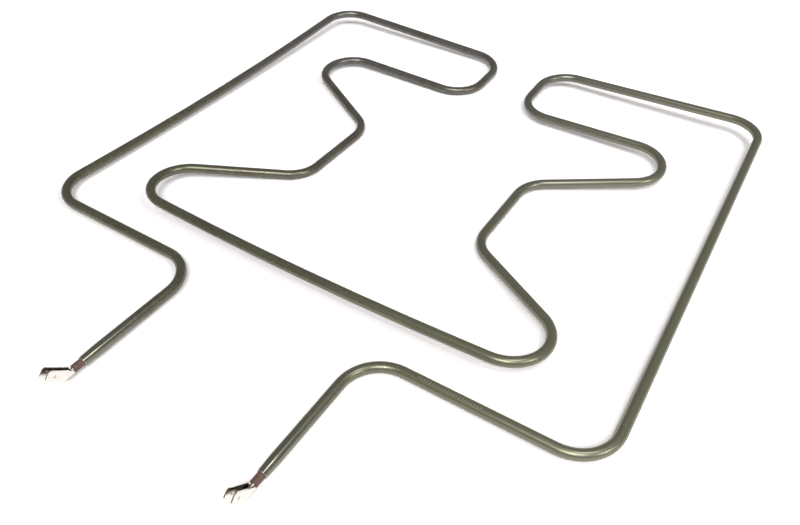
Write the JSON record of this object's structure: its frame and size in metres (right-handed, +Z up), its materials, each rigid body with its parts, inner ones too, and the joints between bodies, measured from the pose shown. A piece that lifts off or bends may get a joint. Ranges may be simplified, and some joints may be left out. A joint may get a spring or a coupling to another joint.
{
  "type": "tubular heating element",
  "caption": "Sheathed tubular heating element bent into a flat butterfly loop, with two straight legs and an angled forked tab terminal on each.",
  "frame": {"origin": "on the floor plane, at the centre of the overall footprint, midway between the two legs", "axes": "+Z up as the element lies flat, -Y the way the two legs and their terminals point, +X to the right seen from the terminals"},
  "size_m": [0.4069, 0.4654, 0.018],
  "materials": {
    "oxidised_sheath": "dull olive-grey oxidised tube",
    "magnesia": "compacted white mineral powder",
    "resistance_wire": "drawn wire",
    "pin_metal": "bare drawn steel",
    "bush_ceramic": "red-brown sealed ceramic",
    "tab_plating": "bright nickel plating"
  },
  "bodies": {
    "root": {"sheath": "oxidised_sheath", "magnesia_fill": "magnesia", "resistance_coil": "resistance_wire", "cold_pin_left": "pin_metal", "cold_pin_right": "pin_metal", "end_bush_left": "bush_ceramic", "end_bush_right": "bush_ceramic", "terminal_left": "tab_plating", "terminal_right": "tab_plating"}
  },
  "joints": []
}
